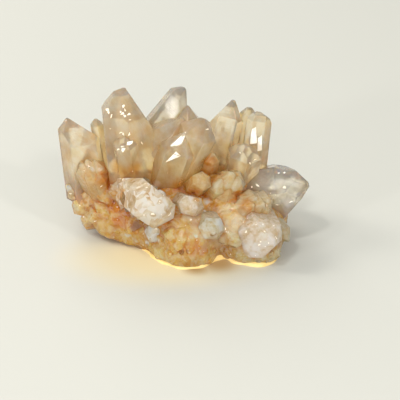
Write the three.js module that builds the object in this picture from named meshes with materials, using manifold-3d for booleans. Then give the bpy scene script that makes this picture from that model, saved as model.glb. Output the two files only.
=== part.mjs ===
// A natural cluster of clear quartz: large six-sided crystals that grew into one another,
// standing on the rough, iron-stained quartz base that they grew from.
// Millimetres, +Z up. The base is cut off flat underneath and rests on z = 0; +Y is the back.

import * as THREE from "three";
import { ConvexGeometry } from "three/addons/geometries/ConvexGeometry.js";
import { ImprovedNoise } from "three/addons/math/ImprovedNoise.js";
import { mergeVertices } from "three/addons/utils/BufferGeometryUtils.js";
import Module from "manifold-3d";

const wasm = await Module();
wasm.setup();

// ---------------------------------------------------------------- driving dimensions

const tipAngle = 38.2;       // degrees between quartz's tip faces and the long axis of a crystal
const sideTaper = 1.2;       // degrees that the long side faces lean in towards the tip
const sides = 6;             // long side faces of a quartz crystal
const seatGap = 0.3;         // clearance between the crystals' roots and the base around them
const rootFloor = 2;         // the lowest that a root reaches into the base
const crown = [-2, 3, 27];   // top of the base, under the crystals
const ringSteps = 64;        // facets round the base
const flankRows = 4;         // rows of facets below its widest line
const domeRows = 8;          // rows of facets above it
const rockLump = 5;          // how far apart the rock's lumps are
const rockRelief = 1.3;      // how far they stand proud, or fall short
const shoulder = 0.8;        // how full the base's shoulders are: 1 is an oval, less is fuller
const lumpRise = 12;         // how steeply the lumps near the crown rise
const skinFloor = 0.4;       // the lumps stay this far above the cut foot

// The base, going round from the right side to the back: a point on its widest line, x, y, z,
// and the point below it where the rock meets the cut foot, x, y.
const baseLine = [
  { wide: [41, 2, 8], foot: [36, 2] },
  { wide: [40, 13, 9], foot: [34, 11] },
  { wide: [33, 22, 10], foot: [28, 19] },
  { wide: [20, 27, 10], foot: [17, 23] },
  { wide: [5, 29, 10], foot: [4, 25] },
  { wide: [-12, 29, 10], foot: [-10, 25] },
  { wide: [-28, 27, 12], foot: [-22, 22] },
  { wide: [-41, 21, 14], foot: [-29, 17] },
  { wide: [-44.5, 13, 15.5], foot: [-32, 11] },
  { wide: [-45, 5, 15.5], foot: [-32, 5] },
  { wide: [-42.3, 0.5, 13.5], foot: [-29, 1.5] },
  { wide: [-38.8, -2.5, 9.5], foot: [-27, -1.5] },
  { wide: [-35, -5, 6], foot: [-25, -4.5] },
  { wide: [-29.5, -7.5, 4.5], foot: [-22, -7] },
  { wide: [-23.5, -10, 3], foot: [-18.5, -10] },
  { wide: [-17, -13, 2.5], foot: [-14.5, -13.5] },
  { wide: [-13, -18, 2], foot: [-11.5, -18] },
  { wide: [-8, -24, 1.4], foot: [-7, -23.5] },
  { wide: [0, -28.5, 1.2], foot: [0, -27.5] },
  { wide: [8, -26.5, 1.6], foot: [8, -25.5] },
  { wide: [15.5, -20.5, 3], foot: [15.5, -19.5] },
  { wide: [22, -24, 2], foot: [21.5, -23] },
  { wide: [31.5, -27, 1.6], foot: [31, -26] },
  { wide: [38, -22, 2.5], foot: [36.5, -21] },
  { wide: [41, -11, 5], foot: [38, -10] },
];

// The large crystals. tip: where the tip faces would meet in a point. root: the middle of the
// shaft's buried end. wide, thick: across the flats in its two directions. shift: how far the
// middle of the shaft stands off the line from root to tip. turn: degrees about the long axis.
// point: degrees between the tip faces and the axis. worn: a second, flatter ring of tip faces,
// its degrees and how far it is set back. blunt: how much of the point is missing.
// chips: single extra faces, each with its direction round the axis, its degrees and its set-back.
// lift: how far each of the six tip faces stands proud of the point.
const largeCrystals = [
  { tip: [-45.9, 8, 48.6], root: [-42, 7, 14], wide: 17, thick: 15, shift: [5, 0], turn: 35, blunt: 0.4,
    lift: [7, 0, 0, 0, 0, 7], chips: [[30, 45, 0]] },
  { tip: [-24.3, 0, 65.4], root: [-19.5, 2, 12], wide: 19, thick: 17, shift: [1.2, 0], turn: 6, blunt: 3.4,
    lift: [2, 2, 1, 0, 0, 0], chips: [[17, 25, -1.3], [150, 55, 0.5], [175, 24, -4]] },
  { tip: [1.4, 14, 59.6], root: [-25, 9, 26], wide: 12.5, thick: 11, shift: [2.4, 0], turn: 5, blunt: 0.6,
    worn: [62, 0.8] },
  { tip: [2, 8, 54], root: [0, 5, 14], wide: 12.5, thick: 11, turn: 5, blunt: 0.4 },
  { tip: [9.6, -6, 55.2], root: [-8, 5, 14], wide: 14, thick: 13, turn: 15, blunt: 0.8, worn: [60, 1.6],
    chips: [[92, 54, 1.2], [29, 44, 0], [8, 28, -2]] },
  { tip: [0.6, -1, 52.6], root: [-15, 9, 16], wide: 15, thick: 13, shift: [-3, 0], turn: 40, blunt: 0.8 },
  { tip: [1.2, -8.5, 49.5], root: [-10, 1, 13], wide: 14, thick: 12, turn: 22, blunt: 0.6 },
  { tip: [19.7, 14, 54.2], root: [9, 10, 14], wide: 13, thick: 11, turn: 30, blunt: 0.8,
    lift: [1, 0, 0, 1, 0, 0], chips: [[165, 28, 0.3], [5, 32, -0.8]] },
  { tip: [26.8, 16, 50.6], root: [21.5, 12, 14], wide: 6.5, turn: 15, blunt: 1.4 },
  { tip: [30.9, 9, 52.9], root: [26.5, 6, 14], wide: 9, thick: 8.5, turn: 25, blunt: 3.2,
    lift: [0.6, 0, 0, 0, 0, 0.6], chips: [[25, 55, 1.9], [5, 28, -1.3]] },
  { tip: [25.8, -1, 43.6], root: [21, 5, 14], wide: 12.5, thick: 12, turn: 5, blunt: 3.4, worn: [58, 2.2],
    chips: [[140, 38, -0.3], [100, 54, 2.3], [53, 51, 2.1], [15, 29, -1]] },
  { tip: [57.8, -4, 26.2], root: [17, 6, 12.5], wide: 21, thick: 20, turn: 30, point: 28, blunt: 8.8,
    worn: [50, 5.8], chips: [[138, 19, -3.4], [134, 32, 1], [124, 50, 5.2], [-19, 45, 5.6], [-24, 36, 3.6]] },
  { tip: [-7.6, -29, 26], root: [-18, -3, 23], wide: 18, thick: 17, turn: 10, point: 55, blunt: 1.5,
    chips: [[102, -18, -12.4], [66, -1, -4.8], [11, 23, -4.8], [-57, 25, -5.4], [-101, 9, -7.8]] },
  { tip: [34, -34, 8.6], root: [25, -4, 12.5], wide: 18, thick: 17, turn: 30, blunt: 3,
    chips: [[22, 18, -4.5], [-29, 38, 1.7], [-127, 8, -6.6], [-147, -8, -9.5]] },
  { tip: [-34.5, 6, 49.4], root: [-30, 6, 20], wide: 5, turn: 10, blunt: 0.8 },
  { tip: [-22.3, -9.5, 49.5], root: [-21, -1, 24], wide: 9, thick: 8, turn: 20, blunt: 1.5, worn: [60, 1.5] },
  { tip: [9.3, -16, 34], root: [0, 1, 15], wide: 8, thick: 7, turn: 10, blunt: 1.4, worn: [60, 1.4] },
  { tip: [5.3, -25, 25], root: [-3, -1, 17], wide: 10, thick: 7.5, turn: 30, blunt: 1 },
  { tip: [-38, 25, 33], root: [-30, 10, 15], wide: 12, turn: 12, blunt: 0.5 },
  { tip: [-25, 29, 42], root: [-20, 9, 14], wide: 15, thick: 13, turn: 25, blunt: 0.8 },
  { tip: [-9, 33, 31], root: [-8, 10, 14], wide: 12, turn: 5, blunt: 0.5 },
  { tip: [4, 29, 38], root: [2, 8, 14], wide: 14, thick: 12, turn: 33, blunt: 1 },
  { tip: [19, 32, 33], root: [12, 9, 13], wide: 12, thick: 10, turn: 18, blunt: 0.5 },
  { tip: [31, 25, 34], root: [20, 7, 13], wide: 13, turn: 40, blunt: 0.8 },
  { tip: [45, 19, 16], root: [24, 8, 11], wide: 10.5, turn: 3, blunt: 0.5 },
  { tip: [-46, 21, 20.5], root: [-32, 12, 14], wide: 9.5, turn: 22, blunt: 0.5 },
];

// Smaller, stained crystals that grew out of the rock of the base itself.
const flankCrystals = [
  { tip: [42.3, -17, 6], root: [33, -9, 13], wide: 7, turn: 5, blunt: 0.4 },
  { tip: [13, -29, 16], root: [9, -14, 14], wide: 10, thick: 9, turn: 10, blunt: 1.5, point: 50 },
  { tip: [-2, -31, 9], root: [-1, -14, 12], wide: 13, thick: 12, turn: 30, blunt: 2, point: 50 },
  { tip: [-12.8, -21.5, 8], root: [-8, -10, 12], wide: 8, turn: 0, blunt: 0.6 },
  { tip: [-21.5, -15.5, 8.5], root: [-16, -4, 12], wide: 9, turn: 20, blunt: 0.8 },
  { tip: [-47.5, 3, 21], root: [-37, 6, 15], wide: 7, turn: 15, blunt: 0.6 },
  { tip: [22, -27, 9], root: [18, -12, 12], wide: 12, turn: 5, blunt: 2 },
  { tip: [-38, -3, 36], root: [-32, 4, 14], wide: 17, thick: 11, turn: 4, blunt: 4 },
  { tip: [12, -4, 39], root: [8, 3, 15], wide: 6, turn: 10, blunt: 0.8 },
  { tip: [20, -13, 35], root: [12, -1, 13], wide: 19, thick: 14, turn: 18, blunt: 6 },
  { tip: [32, -20, 24.5], root: [22, -4, 12], wide: 18, thick: 15, turn: 28, blunt: 4.5 },
];

// A crust of small points scattered over the flanks, between two heights of the skin. lean: how
// much they fan out. rise: how steeply they stand. stout: their length over their width.
const crust = {
  count: 44, seed: 7, widest: 4.6, narrowest: 2.4, from: -0.35, to: 0.45, lean: 0.45, rise: 10, stout: 1.1,
  lowest: 2.2, blunt: 0.2,
};

// ---------------------------------------------------------------- helpers

const radians = THREE.MathUtils.degToRad;
const mix = THREE.MathUtils.lerp;

/** Makes a manifold solid from any closed three.js geometry. */
function solidFrom(geometry) {
  geometry.deleteAttribute("normal");
  geometry.deleteAttribute("uv");
  const merged = mergeVertices(geometry, 1e-5);
  return new wasm.Manifold(new wasm.Mesh({
    numProp: 3,
    vertProperties: new Float32Array(merged.getAttribute("position").array),
    triVerts: new Uint32Array(merged.index.array),
  }));
}

/** Turns a solid back into a three.js mesh with a name and a material of its own. */
function namedMesh(name, solid, look) {
  const { vertProperties, triVerts } = solid.getMesh();
  const geometry = new THREE.BufferGeometry();
  geometry.setAttribute("position", new THREE.BufferAttribute(vertProperties, 3));
  geometry.setIndex(new THREE.BufferAttribute(triVerts, 1));
  const mesh = new THREE.Mesh(geometry, new THREE.MeshStandardMaterial({ flatShading: true, ...look }));
  mesh.name = name;
  return mesh;
}

/** Joins a list of solids into one. */
const joined = (solids) => solids.reduce((all, one) => all.add(one));

/** The largest body of a solid, without any splinters that a cut left loose. */
const largestOf = (solid) => solid.decompose().reduce((a, b) => (b.volume() > a.volume() ? b : a));

/** A block of air with its top at the given height, far wider than the cluster. */
const airBelow = (height) => solidFrom(new THREE.BoxGeometry(400, 400, 200).translate(0, 0, height - 100));

// ---------------------------------------------------------------- crystals

/** The corners of the convex body that a set of planes encloses: every point where three meet. */
function cornersOf(planes) {
  const corners = [];
  const inside = (point) => planes.every((plane) => plane.normal.dot(point) <= plane.reach + 1e-6);
  for (let i = 0; i < planes.length; i += 1) {
    for (let j = i + 1; j < planes.length; j += 1) {
      for (let k = j + 1; k < planes.length; k += 1) {
        const [a, b, c] = [planes[i], planes[j], planes[k]];
        const across = b.normal.clone().cross(c.normal);
        const volume = a.normal.dot(across);
        if (Math.abs(volume) < 1e-6) continue;
        const point = across.multiplyScalar(a.reach)
          .addScaledVector(c.normal.clone().cross(a.normal), b.reach)
          .addScaledVector(a.normal.clone().cross(b.normal), c.reach)
          .divideScalar(volume);
        const known = corners.some((corner) => corner.distanceTo(point) < 1e-3);
        if (inside(point) && !known) corners.push(point);
      }
    }
  }
  return corners;
}

/** One crystal as the body between its growth faces, which are all moved out by extra. */
function crystal(spec, extra = 0) {
  const { wide, thick = wide, shift = [0, 0], turn = 0, point = tipAngle, blunt = 0 } = spec;
  const { chips = [], lift = [0, 0, 0, 0, 0, 0] } = spec;
  const tip = new THREE.Vector3(...spec.tip);
  const axis = tip.clone().sub(new THREE.Vector3(...spec.root));
  const planes = [];
  const face = (azimuth, rise, reach) => {
    const normal = new THREE.Vector3(Math.cos(radians(azimuth)), Math.sin(radians(azimuth)), 0);
    normal.multiplyScalar(Math.cos(radians(rise))).setZ(Math.sin(radians(rise)));
    planes.push({ normal, reach: reach + extra });
  };
  for (let side = 0; side < sides; side += 1) {
    const azimuth = turn + (side * 360) / sides;
    const [c, s] = [Math.cos(radians(azimuth)), Math.sin(radians(azimuth))];
    const reach = Math.hypot((wide / 2) * c, (thick / 2) * s) + shift[0] * c + shift[1] * s;
    face(azimuth, sideTaper, reach * Math.cos(radians(sideTaper)) - wide * Math.sin(radians(sideTaper)));
    face(azimuth, point, lift[side]);
    if (spec.worn) face(azimuth + 180 / sides, spec.worn[0], -spec.worn[1]);
  }
  face(0, 90, -blunt);
  face(0, -90, axis.length());
  for (const [azimuth, rise, depth] of chips) face(azimuth, rise, -depth);
  const upright = new THREE.Vector3(0, 0, 1);
  const pose = new THREE.Quaternion().setFromUnitVectors(upright, axis.normalize());
  return solidFrom(new ConvexGeometry(cornersOf(planes).map((p) => p.applyQuaternion(pose).add(tip))));
}

// ---------------------------------------------------------------- the base

const noise = new ImprovedNoise();

const closedCurve = (points) => new THREE.CatmullRomCurve3(points, true, "centripetal");
const wideCurve = closedCurve(baseLine.map(({ wide }) => new THREE.Vector3(...wide)));
const footCurve = closedCurve(baseLine.map(({ foot }) => new THREE.Vector3(...foot, 0)));

/** A point of the base's skin: turn goes once round, and height from -1, the foot, through 0, its
    widest line, to 1, the crown. The rock's lumps push it out or in. */
function skinPoint(turn, height) {
  const widest = wideCurve.getPoint(turn % 1);
  const foot = footCurve.getPoint(turn % 1);
  const point = new THREE.Vector3();
  if (height <= 0) {
    const out = Math.sin(((height + 1) * Math.PI) / 2);
    point.set(mix(foot.x, widest.x, out), mix(foot.y, widest.y, out), widest.z * (height + 1));
  } else {
    const inward = 1 - Math.cos((height * Math.PI) / 2) ** shoulder;
    const up = Math.sin((height * Math.PI) / 2);
    point.set(mix(widest.x, crown[0], inward), mix(widest.y, crown[1], inward), mix(widest.z, crown[2], up));
  }
  if (height === -1 || height === 1) return point;
  const lump = noise.noise(point.x / rockLump, point.y / rockLump, point.z / rockLump);
  const outward = new THREE.Vector3(point.x, point.y, lumpRise * height).normalize();
  point.addScaledVector(outward, 2 * lump * rockRelief);
  return point.setZ(Math.max(point.z, skinFloor));
}

/** The rough base as one closed skin over a flat cut foot. */
function roughBase() {
  const rows = flankRows + domeRows;
  const points = [0, 0, 0];
  for (let row = 0; row < rows; row += 1) {
    const height = row < flankRows ? row / flankRows - 1 : (row - flankRows) / domeRows;
    for (let step = 0; step < ringSteps; step += 1) {
      points.push(...skinPoint((step + (row % 2) / 2) / ringSteps, height).toArray());
    }
  }
  points.push(...crown);
  const top = points.length / 3 - 1;
  const at = (row, step) => 1 + row * ringSteps + (step % ringSteps);
  const faces = [];
  for (let step = 0; step < ringSteps; step += 1) {
    faces.push(0, at(0, step + 1), at(0, step));
    for (let row = 0; row < rows - 1; row += 1) {
      const [a, b] = [at(row, step), at(row, step + 1)];
      const [c, d] = [at(row + 1, step), at(row + 1, step + 1)];
      if (row % 2 === 0) faces.push(a, b, c, b, d, c);
      else faces.push(a, b, d, a, d, c);
    }
    faces.push(at(rows - 1, step), at(rows - 1, step + 1), top);
  }
  const geometry = new THREE.BufferGeometry();
  geometry.setAttribute("position", new THREE.Float32BufferAttribute(points, 3));
  geometry.setIndex(faces);
  return solidFrom(geometry);
}

/** The small points of the crust, each standing out of the skin where chance puts it. */
function crustCrystals() {
  THREE.MathUtils.seededRandom(crust.seed);
  const chance = (low, high) => mix(low, high, THREE.MathUtils.seededRandom());
  const points = [];
  for (let index = 0; index < crust.count; index += 1) {
    const wide = chance(crust.narrowest, crust.widest);
    const foot = skinPoint(chance(0, 1), chance(crust.from, crust.to));
    const outward = new THREE.Vector3(foot.x, foot.y, crust.rise).normalize();
    outward.x += chance(-crust.lean, crust.lean);
    outward.y += chance(-crust.lean, crust.lean);
    outward.normalize();
    const tip = foot.clone().addScaledVector(outward, wide * crust.stout);
    const root = foot.clone().addScaledVector(outward, -wide);
    tip.z = Math.max(tip.z, crust.lowest);
    root.z = Math.max(root.z, crust.lowest + wide);
    const turn = chance(0, 360 / sides);
    points.push(crystal({ tip: tip.toArray(), root: root.toArray(), wide, turn, blunt: crust.blunt }));
  }
  return points;
}

// ---------------------------------------------------------------- the two pieces

const cluster = joined(largeCrystals.map((spec) => crystal(spec))).subtract(airBelow(rootFloor));
const sockets = joined(largeCrystals.map((spec) => crystal(spec, seatGap)))
  .subtract(airBelow(rootFloor - seatGap));
const rock = joined([roughBase(), ...flankCrystals.map((spec) => crystal(spec)), ...crustCrystals()]);
const base = largestOf(rock.subtract(airBelow(0)).subtract(sockets));

// The origin is moved to the middle of the whole cluster, seen from above, on its cut foot.
const { min, max } = base.add(cluster).boundingBox();
const centred = (solid) => solid.translate([-(min[0] + max[0]) / 2, -(min[1] + max[1]) / 2, 0]);

const group = new THREE.Group();
group.add(namedMesh("matrix", centred(base), { color: 0xc08a45, roughness: 0.7 }));
const clear = { color: 0xe6d6bc, roughness: 0.1, transparent: true, opacity: 0.6 };
group.add(namedMesh("crystals", centred(cluster), clear));

export default group;
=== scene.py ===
# %% [markdown]
# # A cluster of clear quartz
# Quartz grows as six-sided columns with a six-sided point. Here 26 large crystals, most of them clear,
# lean out of one rough base that iron has stained honey and orange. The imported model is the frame: it says
# how large the piece is and where it stands. This file builds the crystals and the base again with finer
# forms, in the same places, and gives them their finishes, a floor, lights and a camera.

from functools import reduce
from itertools import combinations
import bmesh
import bpy
import numpy as np
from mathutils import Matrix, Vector
from mathutils.bvhtree import BVHTree


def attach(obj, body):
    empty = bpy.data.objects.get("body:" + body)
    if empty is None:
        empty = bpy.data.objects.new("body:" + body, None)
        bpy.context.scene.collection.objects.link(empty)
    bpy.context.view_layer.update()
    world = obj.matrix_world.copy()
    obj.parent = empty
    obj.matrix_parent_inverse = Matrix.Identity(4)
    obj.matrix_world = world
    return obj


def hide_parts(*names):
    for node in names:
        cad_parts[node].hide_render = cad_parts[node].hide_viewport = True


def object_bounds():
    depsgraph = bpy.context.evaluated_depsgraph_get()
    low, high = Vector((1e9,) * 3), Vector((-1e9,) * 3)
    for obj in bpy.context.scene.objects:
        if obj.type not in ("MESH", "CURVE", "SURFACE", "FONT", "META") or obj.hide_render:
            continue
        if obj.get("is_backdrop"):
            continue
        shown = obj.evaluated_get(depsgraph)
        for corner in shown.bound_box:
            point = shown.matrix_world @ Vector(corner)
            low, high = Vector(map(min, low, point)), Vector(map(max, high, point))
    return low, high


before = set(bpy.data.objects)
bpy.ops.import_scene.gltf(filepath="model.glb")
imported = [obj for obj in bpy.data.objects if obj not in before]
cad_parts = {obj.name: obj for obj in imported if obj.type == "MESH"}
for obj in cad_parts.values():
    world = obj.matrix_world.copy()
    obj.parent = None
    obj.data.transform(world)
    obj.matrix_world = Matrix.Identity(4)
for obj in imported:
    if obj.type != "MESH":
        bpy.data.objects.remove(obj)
cad_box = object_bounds()
MM = 0.001                            # metres in a millimetre
MIDDLE = np.array([0.36, 0.44, 0.0])  # the frame's origin, in the millimetres of the lists below
print("cluster, mm:", [round(side / MM, 1) for side in np.subtract(cad_box[1], cad_box[0])])


def added(name, data):
    """A new object in the scene."""
    thing = bpy.data.objects.new(name, data)
    bpy.context.collection.objects.link(thing)
    return thing


def mesh_of(name, points, faces=()):
    """A mesh from points in metres, and faces that count their corners in those points."""
    mesh = bpy.data.meshes.new(name)
    mesh.from_pydata(points.tolist(), [], [list(face) for face in faces])
    return mesh


def points_of(mesh):
    """The places of a mesh's vertices as an array (n, 3)."""
    flat = np.empty(len(mesh.vertices) * 3)
    mesh.vertices.foreach_get("co", flat)
    return flat.reshape(-1, 3)


# %% [markdown]
# ## Camera
# The view looks down at the cluster from the front, from about seven body widths away, so nearby and
# distant crystals keep nearly the same scale. A long lens does that better than moving the camera in
# close, because a short one would swell the crystals that lean forward.

# %% Camera
LOOK_AT = np.array([6.8, 0.0, 16.0]) - MIDDLE
DOWN = np.radians(26.3)
AWAY = 700.0
SENSOR, LENS = 36.0, 157.9
AHEAD = np.array([0.0, np.cos(DOWN), -np.sin(DOWN)])
RIGHT, UP = np.array([1.0, 0.0, 0.0]), np.array([0.0, np.sin(DOWN), np.cos(DOWN)])

camera = added("camera", bpy.data.cameras.new("camera"))
camera.data.sensor_width = SENSOR
camera.data.lens = LENS
camera.location = (LOOK_AT - AWAY * AHEAD) * MM
camera.rotation_euler = (np.pi / 2 - DOWN, 0.0, 0.0)
bpy.context.scene.camera = camera
print("camera height, mm:", round(camera.location.z / MM))

# %% [markdown]
# ## The crystals as bodies between flat faces
# A crystal is the space between its growth faces: six long sides, six tip faces, and a few odd ones where
# it was knocked or grew against a neighbour. A column with a cone on top could be pushed into shape by
# hand, but the flat faces and their straight edges are what makes quartz look like quartz. So each face is
# kept as a plane, and the corners are worked out from where three planes meet.

# %% The planes of one crystal
TIP_ANGLE = 38.2   # degrees between the tip faces and the long axis
SIDE_TAPER = 1.2   # degrees that the long sides lean in
SIDES = 6
TINY = 1e-6


def crystal(tip, root, wide, thick=None, shift=(0, 0), turn=0, point=TIP_ANGLE, blunt=0.0, worn=None,
            chips=(), lift=(0,) * SIDES, finish="clear", edge=0.35, shards=0):
    """The facts of one crystal. tip is where its tip faces meet, and root the middle of its buried end. wide
    and thick are its widths across the flats, and shift moves them off the axis. worn is a second, flatter ring
    of tip faces: its rise and set-back. chips are single faces: azimuth, rise and set-back. lift raises the
    tip faces one by one, edge rounds the edges, and shards counts the splinters that stick out."""
    return {**locals(), "thick": thick or wide}


def growth_faces(c):
    """Normals (n, 3) and reaches (n) of a crystal's faces, measured from the tip with the axis upright. A face
    at azimuth a and rise r has the normal (cos a cos r, sin a cos r, sin r)."""
    around = c["turn"] + np.arange(SIDES) * 360 / SIDES
    turn = np.radians(around)
    half = np.hypot(c["wide"] / 2 * np.cos(turn), c["thick"] / 2 * np.sin(turn))
    half = half + c["shift"][0] * np.cos(turn) + c["shift"][1] * np.sin(turn)
    lean = np.radians(SIDE_TAPER)
    long_sides = half * np.cos(lean) - c["wide"] * np.sin(lean)
    rows = [np.stack([around, np.full(SIDES, SIDE_TAPER), long_sides], 1),
            np.stack([around, np.full(SIDES, c["point"]), np.array(c["lift"], float)], 1)]
    if c["worn"]:
        rise, set_back = c["worn"]
        rows.append(np.stack([around + 180 / SIDES, np.full(SIDES, rise), np.full(SIDES, -set_back)], 1))
    rows.append(np.array([[a, r, -d] for a, r, d in c["chips"]]).reshape(-1, 3))
    length = np.linalg.norm(np.subtract(c["tip"], c["root"]))
    rows.append(np.array([[0, 90, -c["blunt"]], [0, -90, length]]))
    azimuth, rise, reach = np.concatenate(rows).T
    azimuth, rise = np.radians(azimuth), np.radians(rise)
    normals = np.stack([np.cos(azimuth) * np.cos(rise), np.sin(azimuth) * np.cos(rise), np.sin(rise)], 1)
    return normals, reach


def corners(normals, reach):
    """Every point where three of the faces meet and that no other face cuts off."""
    i, j, k = np.array(list(combinations(range(len(reach)), 3))).T
    systems = np.stack([normals[i], normals[j], normals[k]], 1)
    sound = np.abs(np.linalg.det(systems)) > TINY
    heights = np.stack([reach[i], reach[j], reach[k]], 1)[sound]
    points = np.linalg.solve(systems[sound], heights[..., None])[..., 0]
    return points[(points @ normals.T <= reach + TINY).all(1)]


plainest = corners(*growth_faces(crystal((0, 0, 40), (0, 0, 0), 12)))
print("a crystal with no odd faces has", len(np.unique(plainest.round(3), axis=0)), "corners")


# %% [markdown]
# ## The large crystals
# Lengths are in millimetres and angles in degrees. Each crystal could be drawn as a mesh of its own, but a
# row of facts is shorter and easier to change. They are listed from left to right along the front, then
# the small ones that lean on them, and then those that fan out at the back.

# %% The list of large crystals
LARGE = [
    crystal((-45.9, 8, 48.6), (-42, 7, 14), 17, 15, shift=(5, 0), turn=35, blunt=0.4,
            lift=(7, 0, 0, 0, 0, 7), chips=[(30, 45, 0)]),
    crystal((-24.3, 0, 65.4), (-19.5, 2, 12), 19, 17, shift=(1.2, 0), turn=6, blunt=3.4,
            lift=(2, 2, 1, 0, 0, 0), chips=[(17, 25, -1.3), (150, 55, 0.5), (175, 24, -4)]),
    crystal((1.4, 14, 59.6), (-25, 9, 26), 12.5, 11, shift=(2.4, 0), turn=5, blunt=0.6, worn=(62, 0.8),
            finish="pale"),
    crystal((2, 8, 54), (0, 5, 14), 12.5, 11, turn=5, blunt=0.4),
    crystal((9.6, -6, 55.2), (-8, 5, 14), 14, 13, turn=15, blunt=0.8, worn=(60, 1.6),
            chips=[(92, 54, 1.2), (29, 44, 0), (8, 28, -2)]),
    crystal((0.6, -1, 52.6), (-15, 9, 16), 15, 13, shift=(-3, 0), turn=40, blunt=0.8),
    crystal((1.2, -8.5, 49.5), (-10, 1, 13), 14, 12, turn=22, blunt=0.6),
    crystal((19.7, 14, 54.2), (9, 10, 14), 13, 11, turn=30, blunt=0.8,
            lift=(1, 0, 0, 1, 0, 0), chips=[(165, 28, 0.3), (5, 32, -0.8)]),
    crystal((26.8, 16, 50.6), (21.5, 12, 14), 6.5, turn=15, blunt=1.4),
    crystal((30.9, 9, 52.9), (26.5, 6, 14), 9, 8.5, turn=25, blunt=3.2,
            lift=(0.6, 0, 0, 0, 0, 0.6), chips=[(25, 55, 1.9), (5, 28, -1.3)]),
    crystal((25.8, -1, 43.6), (21, 5, 14), 12.5, 12, turn=5, blunt=3.4, worn=(58, 2.2),
            chips=[(140, 38, -0.3), (100, 54, 2.3), (53, 51, 2.1), (15, 29, -1)]),
    crystal((57.8, -4, 26.2), (17, 6, 12.5), 21, 20, turn=30, point=28, blunt=8.8, worn=(50, 5.8),
            finish="pale",
            chips=[(138, 19, -3.4), (134, 32, 1), (124, 50, 5.2), (-19, 45, 5.6), (-24, 36, 3.6)]),
    crystal((-7.6, -29, 26), (-18, -3, 23), 18, 17, turn=10, point=55, blunt=1.5, finish="frosted", shards=26,
            chips=[(102, -18, -12.4), (66, -1, -4.8), (11, 23, -4.8), (-57, 25, -5.4), (-101, 9, -7.8)]),
    crystal((34, -34, 8.6), (25, -4, 12.5), 18, 17, turn=30, blunt=3, finish="glazed",
            chips=[(22, 18, -4.5), (-29, 38, 1.7), (-127, 8, -6.6), (-147, -8, -9.5), (179, 50, 4.5)]),
    crystal((-34.5, 6, 49.4), (-30, 6, 20), 5, turn=10, blunt=0.8),
    crystal((-22.3, -9.5, 49.5), (-21, -1, 24), 9, 8, turn=20, blunt=1.5, worn=(60, 1.5)),
    crystal((9.3, -16, 34), (0, 1, 15), 8, 7, turn=10, blunt=1.4, worn=(60, 1.4), finish="amber"),
    crystal((5.3, -25, 25), (-3, -1, 17), 10, 7.5, turn=30, blunt=1, finish="glazed", shards=4),
    crystal((-38, 25, 33), (-30, 10, 15), 12, turn=12, blunt=0.5),
    crystal((-25, 29, 42), (-20, 9, 14), 15, 13, turn=25, blunt=0.8),
    crystal((-9, 33, 31), (-8, 10, 14), 12, turn=5, blunt=0.5),
    crystal((4, 29, 38), (2, 8, 14), 14, 12, turn=33, blunt=1),
    crystal((19, 32, 33), (12, 9, 13), 12, 10, turn=18, blunt=0.5),
    crystal((31, 25, 34), (20, 7, 13), 13, turn=40, blunt=0.8),
    crystal((45, 19, 16), (24, 8, 11), 10.5, turn=3, blunt=0.5),
    crystal((-46, 21, 20.5), (-32, 12, 14), 9.5, turn=22, blunt=0.5),
]
print(len(LARGE), "large crystals")

# %% [markdown]
# ## From corners to a mesh
# The corners become a closed hull. Its flat faces are made whole again, and every edge is rounded a
# little, because even a sharp crystal edge catches a thin line of light. The two coordinates of the
# surface map run around the crystal and along it, so that growth lines can follow the long axis later.

# %% One crystal as a mesh
FINISHES = ["clear", "pale", "glazed", "frosted", "amber", "stained"]
SAME_CORNER = 0.25  # corners closer than this, in millimetres, are made one
MAP_UNIT = 10       # millimetres along a crystal that are one unit of its map


def placed(points, c):
    """Points of an upright crystal, turned so that its axis runs from root to tip, in the frame."""
    axis = Vector(np.subtract(c["tip"], c["root"])).normalized()
    pose = np.array(Vector((0, 0, 1)).rotation_difference(axis).to_matrix())
    return points @ pose.T + np.array(c["tip"]) - MIDDLE


def crystal_mesh(c):
    """One crystal as a closed mesh in metres, with rounded edges. The map counts sides around it, by the angle
    about the axis, and centimetres along it."""
    mesh = mesh_of("crystal", corners(*growth_faces(c)))
    bm = bmesh.new()
    bm.from_mesh(mesh)
    bmesh.ops.remove_doubles(bm, verts=bm.verts, dist=SAME_CORNER)
    bmesh.ops.convex_hull(bm, input=bm.verts)
    bmesh.ops.dissolve_limit(bm, angle_limit=np.radians(1.0), verts=bm.verts, edges=bm.edges)
    bmesh.ops.bevel(bm, geom=bm.edges[:], offset=c["edge"], segments=2, profile=0.55, affect="EDGES",
                    clamp_overlap=True)
    bmesh.ops.triangulate(bm, faces=bm.faces[:])
    bmesh.ops.recalc_face_normals(bm, faces=bm.faces[:])
    bm.to_mesh(mesh)
    bm.free()
    upright = points_of(mesh)
    loops = np.empty(len(mesh.loops), int)
    mesh.loops.foreach_get("vertex_index", loops)
    around = np.arctan2(upright[:, 1], upright[:, 0]) / (2 * np.pi) * SIDES
    growth = np.stack([around, upright[:, 2] / MAP_UNIT], 1)
    mesh.uv_layers.new(name="growth").data.foreach_set("uv", growth[loops].ravel())
    mesh.vertices.foreach_set("co", (placed(upright, c) * MM).ravel())
    mesh.polygons.foreach_set("material_index", np.full(len(mesh.polygons), FINISHES.index(c["finish"])))
    mesh.update()
    return mesh


def welded(name, meshes):
    """Joins closed meshes into one solid, one after another, with Boolean unions."""
    finishes = [bpy.data.materials.get(finish) or bpy.data.materials.new(finish) for finish in FINISHES]
    whole, *others = [added(mesh.name, mesh) for mesh in meshes]
    whole.name = name
    for body in (whole, *others):
        for finish in finishes:
            body.data.materials.append(finish)
    for other in others:
        union = whole.modifiers.new("union", "BOOLEAN")
        union.operation = "UNION"
        union.solver = "MANIFOLD"
        union.object = other
    bpy.context.view_layer.update()
    solid = bpy.data.meshes.new_from_object(whole.evaluated_get(bpy.context.evaluated_depsgraph_get()))
    whole.modifiers.clear()
    whole.data = solid
    for other in others:
        bpy.data.objects.remove(other)
    solid.name = name
    return whole


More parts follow.
